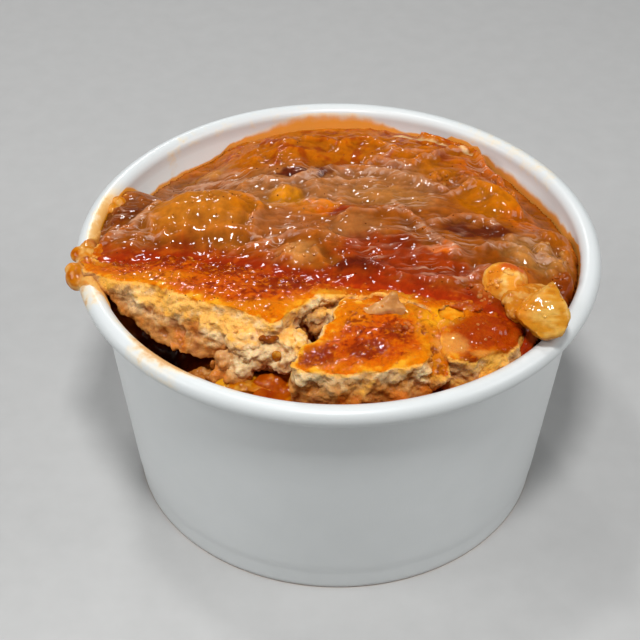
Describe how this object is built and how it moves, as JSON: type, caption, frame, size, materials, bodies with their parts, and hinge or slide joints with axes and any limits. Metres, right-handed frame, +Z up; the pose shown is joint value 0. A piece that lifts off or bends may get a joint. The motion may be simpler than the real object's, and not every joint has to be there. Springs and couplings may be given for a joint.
{
  "type": "fruit cobbler in a paper cup",
  "caption": "Squat paper food cup with a rolled rim, heaped with warm fruit cobbler: torn browned cake, chunks of fruit and thick glossy caramel-coloured sauce.",
  "frame": {"origin": "centre of the cup's foot, on the surface it stands on", "axes": "+Z up along the cup's axis; -Y towards the torn front of the cake; +X towards the large fruit chunk on the rim"},
  "size_m": [0.1165, 0.115, 0.0707],
  "materials": {
    "cup_paper": "white coated paper, softly glossy, with a rolled rim stained by sauce",
    "cup_board": "matt white board of the recessed bottom",
    "sauce": "thick translucent caramel-coloured sauce, wet and glossy, with fine brown specks",
    "baked_cake": "red-brown baked crust over pale, porous, moist crumb",
    "fruit": "soft cooked fruit, golden to pale, glazed with sauce"
  },
  "bodies": {
    "root": {"cup_sidewall": "cup_paper", "cup_bottom": "cup_board", "sauce_filling": "sauce", "cake_slab": "baked_cake", "cake_front_piece": "baked_cake", "sauce_topping": "sauce", "fruit_rim_chunk": "fruit", "fruit_round": "fruit", "fruit_back_slice": "fruit", "fruit_left_slice": "fruit", "fruit_orange": "fruit", "fruit_yellow": "fruit", "fruit_pale": "fruit", "fruit_tan": "fruit", "fruit_hump": "fruit", "fruit_right_inner": "fruit", "fruit_right_middle": "fruit", "fruit_right_wall": "fruit", "fruit_right_front": "fruit", "fruit_sliver": "fruit", "fruit_crust_yellow": "fruit", "fruit_under": "fruit", "fruit_under_left": "fruit", "sauce_drip_large": "sauce", "sauce_drip_small": "sauce"}
  },
  "joints": []
}
